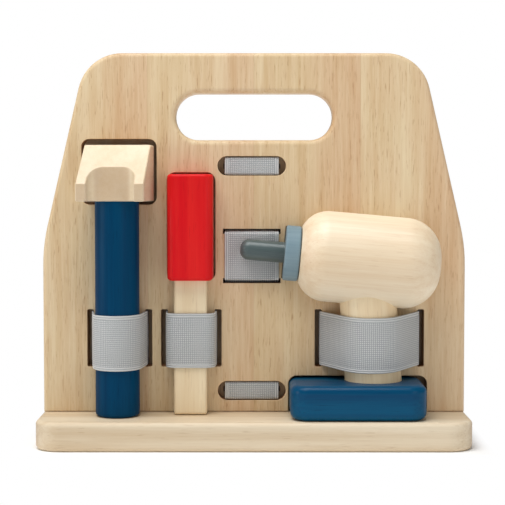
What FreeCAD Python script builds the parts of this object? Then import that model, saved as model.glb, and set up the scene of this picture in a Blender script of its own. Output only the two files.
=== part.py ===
import FreeCAD, Part
import math
import os

import Sketcher

# Toy tool bench: an upright board with a carrying slot stands on a base board. A claw
# hammer, a screwdriver and a power drill, all of wood, are held against its front by
# loops of woven elastic. Millimetres; X to the right, Y away from the front, Z up; the
# origin is the middle of the base's underside.

document = FreeCAD.newDocument("ToolBench")
sheet = document.addObject("Spreadsheet::Sheet", "Sizes")

SIZES = {
    # boards
    "base_length": 246.5, "base_depth": 92, "base_thick": 16.5, "base_corner": 15, "base_round": 2.5,
    "panel_width": 245, "panel_top_width": 193.4, "panel_height": 208, "panel_thick": 12,
    "sheet_thick": 3, "sheet_round": 1.5, "channel_depth": 1.5,
    "shoulder_height": 97, "shoulder_round": 100, "top_round": 26, "panel_round": 2.5,
    "opening_round": 0.4, "grip_slot_length": 91, "grip_slot_height": 27, "grip_slot_rise": 171.4,
    "grip_slot_round": 3,
    # dowels and screws between the boards
    "dowel_radius": 4, "dowel_in_base": 9, "dowel_in_panel": 14, "dowel_end_gap": 1,
    "screw_radius": 2, "screw_head_radius": 4, "screw_head_sink": 1, "screw_length": 32,
    "screw_recess_length": 4.4, "screw_recess_width": 1, "screw_recess_depth": 2,
    "joint_groove_height": 0.7, "joint_groove_depth": 1,
    "dowel_from_side": 14, "screw_from_side": 38, "dowel_from_strap": 28, "screw_from_strap": 52,
    # elastic
    "strap_thick": 1.2, "strap_width": 31.4, "strap_gap": 0.1, "strap_rise": 43.2,
    "strap_slot_width": 4, "strap_slot_spare": 2, "strap_slot_round": 1,
    # hammer
    "hammer_across": -78, "hammer_turn": 4, "hammer_radius": 12.6, "hammer_slot_reach": 14.8,
    "head_width": 38.2, "head_height": 32, "head_rise": 122.8, "head_front": 25.1,
    "head_lip": 9.8, "head_slope_end": 2.5, "head_block_end": 15, "head_rear_gap": 2.3,
    "head_round": 0.8, "striker_round": 3, "claw_width": 26.6, "claw_depth": 11.8, "claw_round": 8,
    "hammer_tenon_radius": 8, "hammer_tenon_length": 20, "handle_end_round": 2,
    "head_opening_width": 43.4, "head_opening_height": 37.8, "head_opening_rise": 139.6,
    "head_opening_corner": 4.5,
    # screwdriver
    "driver_across": -36.4, "driver_handle_width": 26, "driver_handle_depth": 25,
    "driver_handle_length": 60.6, "driver_handle_rise": 77.6, "driver_handle_side_round": 5,
    "driver_handle_end_round": 2, "driver_shaft_width": 19, "driver_shaft_thick": 12,
    "driver_shaft_round": 1.5, "driver_shaft_in_handle": 22, "driver_slot_reach": 13.5,
    "driver_strap_round": 5,
    "driver_pocket_gap": 1, "driver_pocket_floor_gap": 0.7, "driver_pocket_corner": 5,
    # drill
    "drill_across": 67, "drill_forward": 8, "grip_radius": 16.3, "grip_lean": 4,
    "grip_in_foot": 10, "grip_in_barrel": 9, "grip_end_chamfer": 0.6, "drill_slot_reach": 27.7,
    "barrel_radius": 26, "barrel_length": 80.5, "barrel_nose_radius": 16.3, "barrel_cone": 6,
    "barrel_cone_round": 17, "barrel_rear_round": 21, "barrel_rear_gap": 0.5, "barrel_tilt": 5,
    "barrel_rise": 89.2, "grip_to_nose": 37.5, "foot_length": 76.6, "foot_depth": 48,
    "foot_forward": 4.6, "foot_height": 19.6,
    "foot_reach": 46.5, "foot_corner": 10, "foot_round": 4, "foot_left_gap": 0.5,
    "foot_right_gap": 3.5, "foot_top_gap": 1.3, "foot_opening_corner": 5,
    "recess_gap": 0.75,
    # chuck
    "ring_radius": 15.8, "ring_length": 8.7, "ring_round": 1.2, "bit_radius": 6,
    "bit_length": 25.4, "bit_tip_round": 5, "shank_radius": 5, "shank_length": 22,
    "shank_fit": 0.06, "clip_radius": 6.4, "clip_thick": 1, "clip_place": 4, "clip_neck": 4.2,
    # centre strap
    "centre_across": -1.3, "window_upper_rise": 105.2, "window_lower_rise": 76.6,
    "window_slot_height": 3, "anchor_upper_rise": 143, "anchor_lower_rise": 12.4,
    "anchor_recess_length": 39.5, "anchor_recess_height": 11.2, "anchor_recess_depth": 8.4,
    "anchor_bar_height": 7.8, "anchor_bar_depth": 5, "anchor_bar_round": 1.2,
    "anchor_set_back": 0.6,
    # gap between pieces that come apart
    "loose_gap": 0.3,
}


class Size:
    """A size as a number, and as the spreadsheet expression that gives it."""

    def __init__(self, number, text):
        self.number = number
        self.text = text

    def joined(self, other, sign, number):
        return Size(number, f"({self.text} {sign} {as_size(other).text})")

    def __add__(self, other):
        return self.joined(other, "+", self.number + as_size(other).number)

    def __sub__(self, other):
        return self.joined(other, "-", self.number - as_size(other).number)

    def __mul__(self, other):
        return self.joined(other, "*", self.number * as_size(other).number)

    def __truediv__(self, other):
        return self.joined(other, "/", self.number / as_size(other).number)

    def __neg__(self):
        return Size(-self.number, f"(0 - {self.text})")


def as_size(value):
    return value if isinstance(value, Size) else Size(float(value), str(value))


def tangent(degrees):
    return Size(math.tan(math.radians(degrees.number)), f"tan({degrees.text})")


def cosine(degrees):
    return Size(math.cos(math.radians(degrees.number)), f"cos({degrees.text})")


def sine(degrees):
    return Size(math.sin(math.radians(degrees.number)), f"sin({degrees.text})")


def half_chord(radius, distance):
    """Half the width of a circle's section at a distance from its centre."""
    number = math.sqrt(radius.number**2 - distance.number**2)
    return Size(number, f"sqrt({radius.text} ^ 2 - {distance.text} ^ 2)")


for row, (name, number) in enumerate(SIZES.items(), start=1):
    sheet.set(f"A{row}", name)
    sheet.set(f"B{row}", str(number))
    sheet.setAlias(f"B{row}", name)
document.recompute()
SHEET = {name: Size(float(sheet.get(name)), f"Sizes.{name}") for name in SIZES}


def size(name):
    return SHEET[name]


def bind(thing, path, value):
    thing.setExpression(path, as_size(value).text)


# Helpers: bodies, sketches and features ------------------------------------------------


def place(thing, x, y, z, axis=None, degrees=0):
    """Put a piece in the shared frame, turned about one axis."""
    thing.Placement = FreeCAD.Placement(
        FreeCAD.Vector(as_size(x).number, as_size(y).number, as_size(z).number),
        FreeCAD.Rotation(axis or FreeCAD.Vector(0, 0, 1), as_size(degrees).number),
    )
    bind(thing, "Placement.Base.x", x)
    bind(thing, "Placement.Base.y", y)
    bind(thing, "Placement.Base.z", z)
    bind(thing, "Placement.Rotation.Angle", degrees)


def new_body(label):
    body = document.addObject("PartDesign::Body", label)
    body.Label = label
    return body


def new_sketch(body, plane, across=0, up=0, out=0, degrees=0):
    """A sketch on one of the body's own planes, shifted within it, out of it and turned."""
    sketch = body.newObject("Sketcher::SketchObject", f"{body.Label}_sketch")
    origin_plane = next(o for o in body.Origin.OriginFeatures if o.Role == plane)
    sketch.AttachmentSupport = [(origin_plane, "")]
    sketch.MapMode = "FlatFace"
    sketch.AttachmentOffset = FreeCAD.Placement(
        FreeCAD.Vector(0, 0, 0), FreeCAD.Rotation(FreeCAD.Vector(0, 0, 1), as_size(degrees).number)
    )
    bind(sketch, "AttachmentOffset.Base.x", across)
    bind(sketch, "AttachmentOffset.Base.y", up)
    bind(sketch, "AttachmentOffset.Base.z", out)
    bind(sketch, "AttachmentOffset.Rotation.Angle", degrees)
    return sketch


def hold(sketch, kind, *places_and_value):
    """Add a constraint whose value follows the spreadsheet."""
    *places, value = places_and_value
    number = sketch.addConstraint(Sketcher.Constraint(kind, *places, as_size(value).number))
    bind(sketch, f"Constraints[{number}]", value)


def polygon(sketch, corners):
    """A closed outline of straight lines, each corner held from the sketch's origin."""
    corners = [(as_size(x), as_size(y)) for x, y in corners]
    first = sketch.GeometryCount
    for start, end in zip(corners, corners[1:] + corners[:1]):
        line = [FreeCAD.Vector(x.number, y.number, 0) for x, y in (start, end)]
        sketch.addGeometry(Part.LineSegment(*line))
    for number, (x, y) in enumerate(corners):
        before = first + (number - 1) % len(corners)
        sketch.addConstraint(Sketcher.Constraint("Coincident", before, 2, first + number, 1))
        hold(sketch, "DistanceX", -1, 1, first + number, 1, x)
        hold(sketch, "DistanceY", -1, 1, first + number, 1, y)


def rectangle(sketch, x, y, width, height):
    x, y, half_width, half_height = as_size(x), as_size(y), as_size(width) / 2, as_size(height) / 2
    left, right = x - half_width, x + half_width
    low, high = y - half_height, y + half_height
    polygon(sketch, [(left, low), (right, low), (right, high), (left, high)])


def circle(sketch, x, y, radius):
    x, y = as_size(x), as_size(y)
    centre = FreeCAD.Vector(x.number, y.number, 0)
    number = sketch.addGeometry(Part.Circle(centre, FreeCAD.Vector(0, 0, 1), radius.number))
    hold(sketch, "Radius", number, radius)
    hold(sketch, "DistanceX", -1, 1, number, 3, x)
    hold(sketch, "DistanceY", -1, 1, number, 3, y)


def stadium(sketch, x, y, length, height):
    """A slot with round ends, lying along the sketch's first direction."""
    x, y, radius = as_size(x), as_size(y), as_size(height) / 2
    reach = as_size(length) / 2 - radius
    left, right = x - reach, x + reach
    up = FreeCAD.Vector(0, 0, 1)
    ends = []
    for centre_x, start in ((left, math.pi / 2), (right, -math.pi / 2)):
        centre = FreeCAD.Vector(centre_x.number, y.number, 0)
        arc = Part.ArcOfCircle(Part.Circle(centre, up, radius.number), start, start + math.pi)
        ends.append(sketch.addGeometry(arc))
        hold(sketch, "Radius", ends[-1], radius)
        hold(sketch, "DistanceX", -1, 1, ends[-1], 3, centre_x)
        hold(sketch, "DistanceY", -1, 1, ends[-1], 3, y)
    for first, first_end, second, second_end in ((0, 2, 1, 1), (1, 2, 0, 1)):
        a = sketch.getPoint(ends[first], first_end)
        b = sketch.getPoint(ends[second], second_end)
        line = sketch.addGeometry(Part.LineSegment(a, b))
        sketch.addConstraint(Sketcher.Constraint("Tangent", ends[first], first_end, line, 1))
        sketch.addConstraint(Sketcher.Constraint("Tangent", line, 2, ends[second], second_end))


def pad(body, sketch, length, symmetric=False, reverse=False):
    feature = body.newObject("PartDesign::Pad", f"{body.Label}_pad")
    feature.Profile = sketch
    feature.SideType = "Symmetric" if symmetric else "One side"
    feature.Reversed = reverse
    bind(feature, "Length", length)
    document.recompute()
    return feature


def pocket(body, sketch, depth, symmetric=False, reverse=False):
    """Cut a sketch out of the body, and make sure that it took something away."""
    before = body.Shape.Volume
    feature = body.newObject("PartDesign::Pocket", f"{body.Label}_pocket")
    feature.Profile = sketch
    feature.SideType = "Symmetric" if symmetric else "One side"
    feature.Reversed = reverse
    bind(feature, "Length", depth)
    document.recompute()
    if not body.Shape.Volume < before:
        raise ValueError(f"{feature.Name} cuts nothing")
    return feature


def turned(body, sketch, cut=False):
    """Turn a sketch a full circle about its own first direction."""
    before = body.Shape.Volume if cut else 0
    kind = "Groove" if cut else "Revolution"
    feature = body.newObject(f"PartDesign::{kind}", f"{body.Label}_turned")
    feature.Profile = sketch
    feature.ReferenceAxis = (sketch, ["H_Axis"])
    feature.Angle = 360
    document.recompute()
    if cut and not body.Shape.Volume < before:
        raise ValueError(f"{feature.Name} cuts nothing")
    return feature


def rounded(body, keep, radius, kind="Fillet"):
    """Round or chamfer the edges of the body that the test keeps."""
    edges = [f"Edge{n}" for n, edge in enumerate(body.Shape.Edges, start=1) if keep(edge)]
    if not edges:
        raise ValueError(f"{body.Label} has no such edge")
    shape_so_far = body.Tip
    feature = body.newObject(f"PartDesign::{kind}", f"{body.Label}_{kind.lower()}")
    feature.Base = (shape_so_far, edges)
    bind(feature, "Radius" if kind == "Fillet" else "Size", radius)
    document.recompute()
    if "Invalid" in feature.State:
        raise ValueError(f"{feature.Name} failed: {feature.State}")
    return feature


CLOSE = 1e-4


def along(direction):
    """A test for straight edges that run one way."""
    wanted = FreeCAD.Vector(*direction)

    def keep(edge):
        if not isinstance(edge.Curve, Part.Line):
            return False
        return edge.Curve.Direction.cross(wanted).Length < CLOSE

    return keep


def flat_at(axis, value):
    """A test for edges that lie in a plane across one axis, given as x, y or z."""
    number = as_size(value).number

    def keep(edge):
        return all(abs(getattr(v.Point, axis) - number) < CLOSE for v in edge.Vertexes) and (
            abs(getattr(edge.CenterOfMass, axis) - number) < CLOSE
        )

    return keep


def edge_round_at(x, radius):
    """A test for full circles round the X axis."""

    def keep(edge):
        if not isinstance(edge.Curve, Part.Circle):
            return False
        same_place = abs(edge.Curve.Center.x - as_size(x).number) < CLOSE
        return same_place and abs(edge.Curve.Radius - as_size(radius).number) < CLOSE

    return keep


# Levels and planes shared by the pieces ------------------------------------------------

base_top = size("base_thick")
panel_front = -((size("panel_thick") + size("sheet_thick")) / 2)
panel_back = panel_front + size("panel_thick")
panel_middle = (panel_front + panel_back) / 2
sheet_back = panel_back + size("sheet_thick")
strap_height = base_top + size("strap_rise")
strap_slot_height = size("strap_width") + size("strap_slot_spare")
through = size("panel_thick") * 2
barrel_height = base_top + size("barrel_rise")
grip_lean_to_barrel = tangent(size("grip_lean")) * (barrel_height - strap_height)
nose_across = size("drill_across") - grip_lean_to_barrel - (
    size("grip_to_nose") * cosine(size("barrel_tilt"))
)
nose_height = barrel_height + size("grip_to_nose") * sine(size("barrel_tilt"))
drill_depth = panel_front - size("drill_forward")
foot_left = size("drill_across") - size("foot_reach")
foot_bottom = base_top + size("loose_gap")
driver_depth = panel_front - size("loose_gap") - size("driver_shaft_thick") / 2
driver_handle_bottom = base_top + size("driver_handle_rise")
head_bottom = base_top + size("head_rise")
# The hammer's round striking face stands clear of the back sheet, turned as it is.
head_rear = size("hammer_radius") + size("loose_gap") + size("panel_thick") - size("head_rear_gap")

# The dowels and screws stand clear of the strap's lower anchor and the drill's foot.
panel_side = size("panel_width") / 2
leg_middle = (foot_left + size("foot_length") + size("foot_right_gap") + panel_side) / 2
dowel_places = [
    size("dowel_from_side") - panel_side,
    size("centre_across") - size("dowel_from_strap"),
    leg_middle,
]
screw_places = [
    size("screw_from_side") - panel_side,
    size("centre_across") - size("screw_from_strap"),
]


# Boards --------------------------------------------------------------------------------


def make_base_board():
    body = new_body("base_board")
    outline = new_sketch(body, "XY_Plane")
    rectangle(outline, 0, 0, size("base_length"), size("base_depth"))
    pad(body, outline, base_top)
    rounded(body, along((0, 0, 1)), size("base_corner"))
    top, bottom = flat_at("z", base_top), flat_at("z", 0)
    rounded(body, lambda edge: top(edge) or bottom(edge), size("base_round"))
    dowel_holes = new_sketch(body, "XY_Plane", out=base_top)
    for place_x in dowel_places:
        circle(dowel_holes, place_x, panel_middle, size("dowel_radius"))
    pocket(body, dowel_holes, size("dowel_in_base") + size("dowel_end_gap") / 2)
    screw_holes = new_sketch(body, "XY_Plane")
    for place_x in screw_places:
        circle(screw_holes, place_x, panel_middle, size("screw_radius"))
    pocket(body, screw_holes, base_top, reverse=True)
    for place_x in screw_places:
        seat = new_sketch(body, "XZ_Plane", across=place_x, out=-panel_middle, degrees=90)
        head, shank = size("screw_head_radius"), size("screw_radius")
        sink = size("screw_head_sink")
        cone = sink + head - shank
        polygon(seat, [(0, 0), (cone, 0), (cone, -shank), (sink, -head), (0, -head)])
        turned(body, seat, cut=True)
    return body


def barrel_opening_corners():
    """The drill barrel's opening, in the barrel's own directions from the nose."""
    gap = size("recess_gap")
    nose = half_chord(size("barrel_nose_radius"), size("drill_forward")) + gap
    wide = half_chord(size("barrel_radius"), size("drill_forward")) + gap
    cone, rear = size("barrel_cone"), size("barrel_length") + size("barrel_rear_gap")
    return [(0, -nose), (cone, -wide), (rear, -wide), (rear, wide), (cone, wide), (0, nose)]


def along_barrel(point):
    """How far a point lies behind the barrel's nose, in the barrel's own direction."""
    tilt = math.radians(size("barrel_tilt").number)
    x, z = point.x - nose_across.number, point.z - nose_height.number
    return x * math.cos(tilt) - z * math.sin(tilt)


def make_outline_board(label, front, back, round_face, edge_round, slot_round):
    """A board in the bench's upright outline, with the carrying slot cut through it."""
    body = new_body(label)
    middle = (front + back) / 2
    half_width, half_top = size("panel_width") / 2, size("panel_top_width") / 2
    shoulder, top = base_top + size("shoulder_height"), base_top + size("panel_height")
    outline = new_sketch(body, "XZ_Plane", out=-middle)
    right = [(half_width, base_top), (half_width, shoulder), (half_top, top)]
    left = [(-x, z) for x, z in reversed(right)]
    polygon(outline, right + left)
    pad(body, outline, back - front, symmetric=True)
    thickness_edges = along((0, 1, 0))

    def at_height(height):
        return lambda edge: thickness_edges(edge) and abs(edge.CenterOfMass.z - height.number) < CLOSE

    rounded(body, at_height(top), size("top_round"))
    rounded(body, at_height(shoulder), size("shoulder_round"))
    on_face, at_bottom = flat_at("y", round_face), flat_at("z", base_top)
    rounded(body, lambda edge: on_face(edge) and not at_bottom(edge), edge_round)
    carrying_slot = new_sketch(body, "XZ_Plane", up=base_top + size("grip_slot_rise"))
    stadium(carrying_slot, 0, 0, size("grip_slot_length"), size("grip_slot_height"))
    known = [edge.CenterOfMass for edge in body.Shape.Edges]
    pocket(body, carrying_slot, through, symmetric=True)
    rounded(body, lambda edge: on_face(edge) and is_new(edge, known), slot_round)
    return body


def is_new(edge, known):
    """True for an edge that isn't at one of the known middles."""
    return all((edge.CenterOfMass - middle).Length > CLOSE for middle in known)


def cut_barrel_opening(body):
    """Cut the drill barrel's opening and round its corners as the barrel's are."""
    known = [edge.CenterOfMass for edge in body.Shape.Edges]
    opening = new_sketch(body, "XZ_Plane", nose_across, nose_height, degrees=-size("barrel_tilt"))
    polygon(opening, barrel_opening_corners())
    pocket(body, opening, through, symmetric=True)
    thickness_edges = along((0, 1, 0))
    rear = size("barrel_length") + size("barrel_rear_gap")
    roundings = [(rear, size("barrel_rear_round")), (size("barrel_cone"), size("barrel_cone_round"))]
    for distance, radius in roundings:

        def corner(edge):
            if not (thickness_edges(edge) and is_new(edge, known)):
                return False
            return abs(along_barrel(edge.CenterOfMass) - distance.number) < CLOSE

        rounded(body, corner, radius - size("recess_gap"))


def make_back_sheet():
    """Thin sheet glued behind the upright board, over the elastic's back runs."""
    body = make_outline_board(
        "back_sheet", panel_back, sheet_back, sheet_back, size("sheet_round"), size("sheet_round")
    )
    cut_barrel_opening(body)
    return body


def make_upright_panel():
    body = make_outline_board(
        "upright_panel",
        panel_front,
        panel_back,
        panel_front,
        size("panel_round"),
        size("grip_slot_round"),
    )
    before = [edge.CenterOfMass for edge in body.Shape.Edges]
    on_front, at_bottom = flat_at("y", panel_front), flat_at("z", base_top)

    def newly_cut(edge):
        """An edge of an opening's mouth in front."""
        return on_front(edge) and not at_bottom(edge) and is_new(edge, before)

    # the hammer's head passes through an opening
    head_middle = base_top + size("head_opening_rise")
    head_opening = new_sketch(body, "XZ_Plane", size("hammer_across"), head_middle)
    rectangle(head_opening, 0, 0, size("head_opening_width"), size("head_opening_height"))
    cut_and_round(body, head_opening, through, size("head_opening_corner"), symmetric=True)

    # the screwdriver's handle lies in a pocket
    handle_middle = driver_handle_bottom + size("driver_handle_length") / 2
    handle_back = driver_depth + size("driver_handle_depth") / 2
    pocket_depth = handle_back - panel_front + size("driver_pocket_floor_gap")
    handle_pocket = new_sketch(
        body, "XZ_Plane", size("driver_across"), handle_middle, out=-panel_front
    )
    rectangle(
        handle_pocket,
        0,
        0,
        size("driver_handle_width") + size("driver_pocket_gap") * 2,
        size("driver_handle_length") + size("driver_pocket_gap") * 2,
    )
    cut_and_round(body, handle_pocket, pocket_depth, size("driver_pocket_corner"))

    # the drill's foot, grip, barrel and chuck are sunk in the board
    foot_right = foot_left + size("foot_length")
    low, high = foot_left - size("foot_left_gap"), foot_right + size("foot_right_gap")
    foot_ceiling = foot_bottom + size("foot_height") + size("foot_top_gap")
    foot_opening = new_sketch(body, "XZ_Plane")
    below = base_top - size("foot_opening_corner") * 2
    polygon(foot_opening, [(low, below), (high, below), (high, foot_ceiling), (low, foot_ceiling)])
    cut_and_round(body, foot_opening, through, size("foot_opening_corner"), symmetric=True)

    cut_barrel_opening(body)

    ring_recess = new_sketch(
        body, "XZ_Plane", nose_across, nose_height, -panel_front, -size("barrel_tilt")
    )
    ring_half = half_chord(size("barrel_nose_radius"), size("drill_forward")) + size("recess_gap")
    ring_end = size("ring_length") + size("loose_gap") * 2
    ring_middle, ring_long = (size("barrel_cone") - ring_end) / 2, size("barrel_cone") + ring_end
    rectangle(ring_recess, ring_middle, 0, ring_long, ring_half * 2)
    pocket(body, ring_recess, size("ring_radius") - size("drill_forward") + size("recess_gap"))

    grip_recess = new_sketch(
        body, "XZ_Plane", size("drill_across"), strap_height, -panel_front, size("grip_lean")
    )
    grip_half = half_chord(size("grip_radius"), size("drill_forward")) + size("recess_gap")
    down, up = strap_height - foot_ceiling + size("foot_top_gap"), barrel_height - strap_height
    polygon(grip_recess, [(-grip_half, -down), (grip_half, -down), (grip_half, up), (-grip_half, up)])
    pocket(body, grip_recess, size("grip_radius") - size("drill_forward") + size("recess_gap"))

    # slots for the loops round the tools, on both sides of each tool
    tool_slots = [
        (size(f"{tool}_across"), size(f"{tool}_slot_reach")) for tool in ("hammer", "driver", "drill")
    ]
    loops = new_sketch(body, "XZ_Plane", up=strap_height)
    for across, reach in tool_slots:
        for middle in (
            across - reach - size("strap_slot_width") / 2,
            across + reach + size("strap_slot_width") / 2,
        ):
            rectangle(loops, middle, 0, size("strap_slot_width"), strap_slot_height)
    cut_and_round(body, loops, through, size("strap_slot_round"), symmetric=True)

    # the centre strap's anchor recesses, and the saw-cut slots that it passes through
    recesses = new_sketch(body, "XZ_Plane", across=size("centre_across"), out=-panel_front)
    for rise in (size("anchor_upper_rise"), size("anchor_lower_rise")):
        stadium(
            recesses, 0, base_top + rise, size("anchor_recess_length"), size("anchor_recess_height")
        )
    pocket(body, recesses, size("anchor_recess_depth"))
    rounded(body, newly_cut, size("opening_round"))
    slots = new_sketch(body, "XZ_Plane", across=size("centre_across"))
    for kind in ("window_upper", "window_lower", "anchor_upper", "anchor_lower"):
        rise = base_top + size(f"{kind}_rise")
        rectangle(slots, 0, rise, strap_slot_height, size("window_slot_height"))
    pocket(body, slots, through, symmetric=True)

    # shallow channels behind for the elastic
    channels = new_sketch(body, "XZ_Plane", out=-panel_back)
    for across, reach in tool_slots:
        wide = (reach + size("strap_slot_width")) * 2
        rectangle(channels, across, strap_height, wide, strap_slot_height)
    for anchor, window in (("anchor_upper", "window_upper"), ("window_lower", "anchor_lower")):
        high = base_top + size(f"{anchor}_rise") + size("window_slot_height") / 2
        low = base_top + size(f"{window}_rise") - size("window_slot_height") / 2
        centre = size("centre_across")
        rectangle(channels, centre, (high + low) / 2, strap_slot_height, high - low)
    pocket(body, channels, size("channel_depth"), reverse=True)

    # a fine groove where the board meets the base
    groove = new_sketch(body, "XZ_Plane", out=-panel_front)
    rectangle(groove, 0, base_top, size("base_length"), size("joint_groove_height") * 2)
    pocket(body, groove, size("joint_groove_depth"))

    # holes up into the lower edge
    dowel_holes = new_sketch(body, "XY_Plane", out=base_top)
    for place_x in dowel_places:
        circle(dowel_holes, place_x, panel_middle, size("dowel_radius"))
    pocket(body, dowel_holes, size("dowel_in_panel") + size("dowel_end_gap") / 2, reverse=True)
    screw_holes = new_sketch(body, "XY_Plane", out=base_top)
    for place_x in screw_places:
        circle(screw_holes, place_x, panel_middle, size("screw_radius"))
    pocket(body, screw_holes, size("screw_length") - base_top + size("dowel_end_gap"), reverse=True)
    return body


def cut_and_round(body, sketch, depth, corner, symmetric=False):
    """Cut an opening and round the corners that it leaves through the board."""
    known = [edge.CenterOfMass for edge in body.Shape.Edges]
    pocket(body, sketch, depth, symmetric=symmetric)
    through_board = along((0, 1, 0))
    bottom = base_top.number

    def new_corner(edge):
        return is_new(edge, known) and through_board(edge) and edge.CenterOfMass.z > bottom + CLOSE

    rounded(body, new_corner, corner)


def make_group(label, parts):
    group = document.addObject("Part::Compound", label)
    group.Label = label
    group.Links = parts
    return group


def make_dowels():
    dowels = []
    for place_x in dowel_places:
        dowel = document.addObject("Part::Cylinder", "dowel")
        bind(dowel, "Radius", size("dowel_radius"))
        bind(dowel, "Height", size("dowel_in_base") + size("dowel_in_panel"))
        place(dowel, place_x, panel_middle, base_top - size("dowel_in_base"))
        dowels.append(dowel)
    return make_group("panel_dowels", dowels)


def make_screws():
    screws = []
    head, shank, sink = size("screw_head_radius"), size("screw_radius"), size("screw_head_sink")
    for place_x in screw_places:
        cone = document.addObject("Part::Cone", "screw_head")
        bind(cone, "Radius1", head)
        bind(cone, "Radius2", shank)
        bind(cone, "Height", head - shank)
        place(cone, place_x, panel_middle, sink)
        stem = document.addObject("Part::Cylinder", "screw_stem")
        bind(stem, "Radius", shank)
        bind(stem, "Height", size("screw_length") - sink)
        place(stem, place_x, panel_middle, sink)
        whole = document.addObject("Part::Fuse", "screw_whole")
        whole.Base = cone
        whole.Tool = stem
        arms = []
        for long_side, short_side in (("Length", "Width"), ("Width", "Length")):
            arm = document.addObject("Part::Box", "recess_arm")
            bind(arm, long_side, size("screw_recess_length"))
            bind(arm, short_side, size("screw_recess_width"))
            bind(arm, "Height", size("screw_recess_depth"))
            half = {
                long_side: size("screw_recess_length") / 2,
                short_side: size("screw_recess_width") / 2,
            }
            place(arm, place_x - half["Length"], panel_middle - half["Width"], sink)
            arms.append(arm)
        cross = document.addObject("Part::MultiFuse", "recess")
        cross.Shapes = arms
        screw = document.addObject("Part::Cut", "screw")
        screw.Base = whole
        screw.Tool = cross
        screws.append(screw)
    return make_group("base_screws", screws)


# Hammer --------------------------------------------------------------------------------


def make_hammer_head():
    """A block with a sloping claw at the front and a round striking face behind."""
    body = new_body("hammer_head")
    front, lip, height = size("head_front"), size("head_lip"), size("head_height")
    side = new_sketch(body, "YZ_Plane")
    polygon(
        side,
        [
            (-front, 0),
            (size("head_block_end"), 0),
            (size("head_block_end"), height),
            (size("head_slope_end"), height),
            (-front, lip),
        ],
    )
    pad(body, side, size("head_width"), symmetric=True)
    claw = new_sketch(body, "XY_Plane")
    reach = front - size("claw_depth")
    half_claw = size("claw_width") / 2
    beyond = front + size("claw_depth")
    polygon(
        claw,
        [(-half_claw, -beyond), (half_claw, -beyond), (half_claw, -reach), (-half_claw, -reach)],
    )
    pocket(body, claw, height * 2, symmetric=True)
    upright = along((0, 0, 1))
    notch_back = -reach.number

    def notch_corner(edge):
        return upright(edge) and abs(edge.CenterOfMass.y - notch_back) < CLOSE

    rounded(body, notch_corner, size("claw_round"))
    block_end = size("head_block_end").number
    rounded(body, lambda edge: edge.CenterOfMass.y < block_end - CLOSE, size("head_round"))
    striker = new_sketch(body, "XZ_Plane", up=height / 2, out=-head_rear)
    circle(striker, 0, 0, height / 2 - size("head_round"))
    pad(body, striker, head_rear - size("head_block_end"))
    rear = flat_at("y", head_rear)
    rounded(body, rear, size("striker_round"))
    socket = new_sketch(body, "XY_Plane")
    circle(socket, 0, 0, size("hammer_tenon_radius"))
    pocket(body, socket, size("hammer_tenon_length") + size("dowel_end_gap"), reverse=True)
    place(
        body,
        size("hammer_across"),
        panel_front - size("loose_gap") - size("hammer_radius"),
        head_bottom,
        degrees=-size("hammer_turn"),
    )
    return body


def make_hammer_handle():
    body = new_body("hammer_handle")
    bottom = base_top + size("loose_gap")
    length = head_bottom - bottom
    section = new_sketch(body, "XY_Plane")
    circle(section, 0, 0, size("hammer_radius"))
    pad(body, section, length)
    rounded(body, flat_at("z", 0), size("handle_end_round"))
    tenon = new_sketch(body, "XY_Plane", out=length)
    circle(tenon, 0, 0, size("hammer_tenon_radius"))
    pad(body, tenon, size("hammer_tenon_length"))
    depth = panel_front - size("loose_gap") - size("hammer_radius")
    place(body, size("hammer_across"), depth, bottom)
    return body


# Screwdriver ---------------------------------------------------------------------------


def make_driver_handle():
    body = new_body("screwdriver_handle")
    section = new_sketch(body, "XY_Plane")
    rectangle(section, 0, 0, size("driver_handle_width"), size("driver_handle_depth"))
    pad(body, section, size("driver_handle_length"))
    rounded(body, along((0, 0, 1)), size("driver_handle_side_round"))
    low, high = flat_at("z", 0), flat_at("z", size("driver_handle_length"))
    rounded(body, lambda edge: low(edge) or high(edge), size("driver_handle_end_round"))
    socket = new_sketch(body, "XY_Plane")
    rectangle(socket, 0, 0, size("driver_shaft_width"), size("driver_shaft_thick"))
    pocket(body, socket, size("driver_shaft_in_handle") + size("dowel_end_gap"), reverse=True)
    place(body, size("driver_across"), driver_depth, driver_handle_bottom)
    return body


def make_driver_shaft():
    body = new_body("screwdriver_shaft")
    bottom = base_top + size("loose_gap")
    length = driver_handle_bottom + size("driver_shaft_in_handle") - bottom
    section = new_sketch(body, "XY_Plane")
    rectangle(section, 0, 0, size("driver_shaft_width"), size("driver_shaft_thick"))
    pad(body, section, length)
    rounded(body, along((0, 0, 1)), size("driver_shaft_round"))
    rounded(body, flat_at("z", 0), size("driver_shaft_round"))
    place(body, size("driver_across"), driver_depth, bottom)
    return body


# Drill ---------------------------------------------------------------------------------

ABOUT_Y = FreeCAD.Vector(0, 1, 0)


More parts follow.
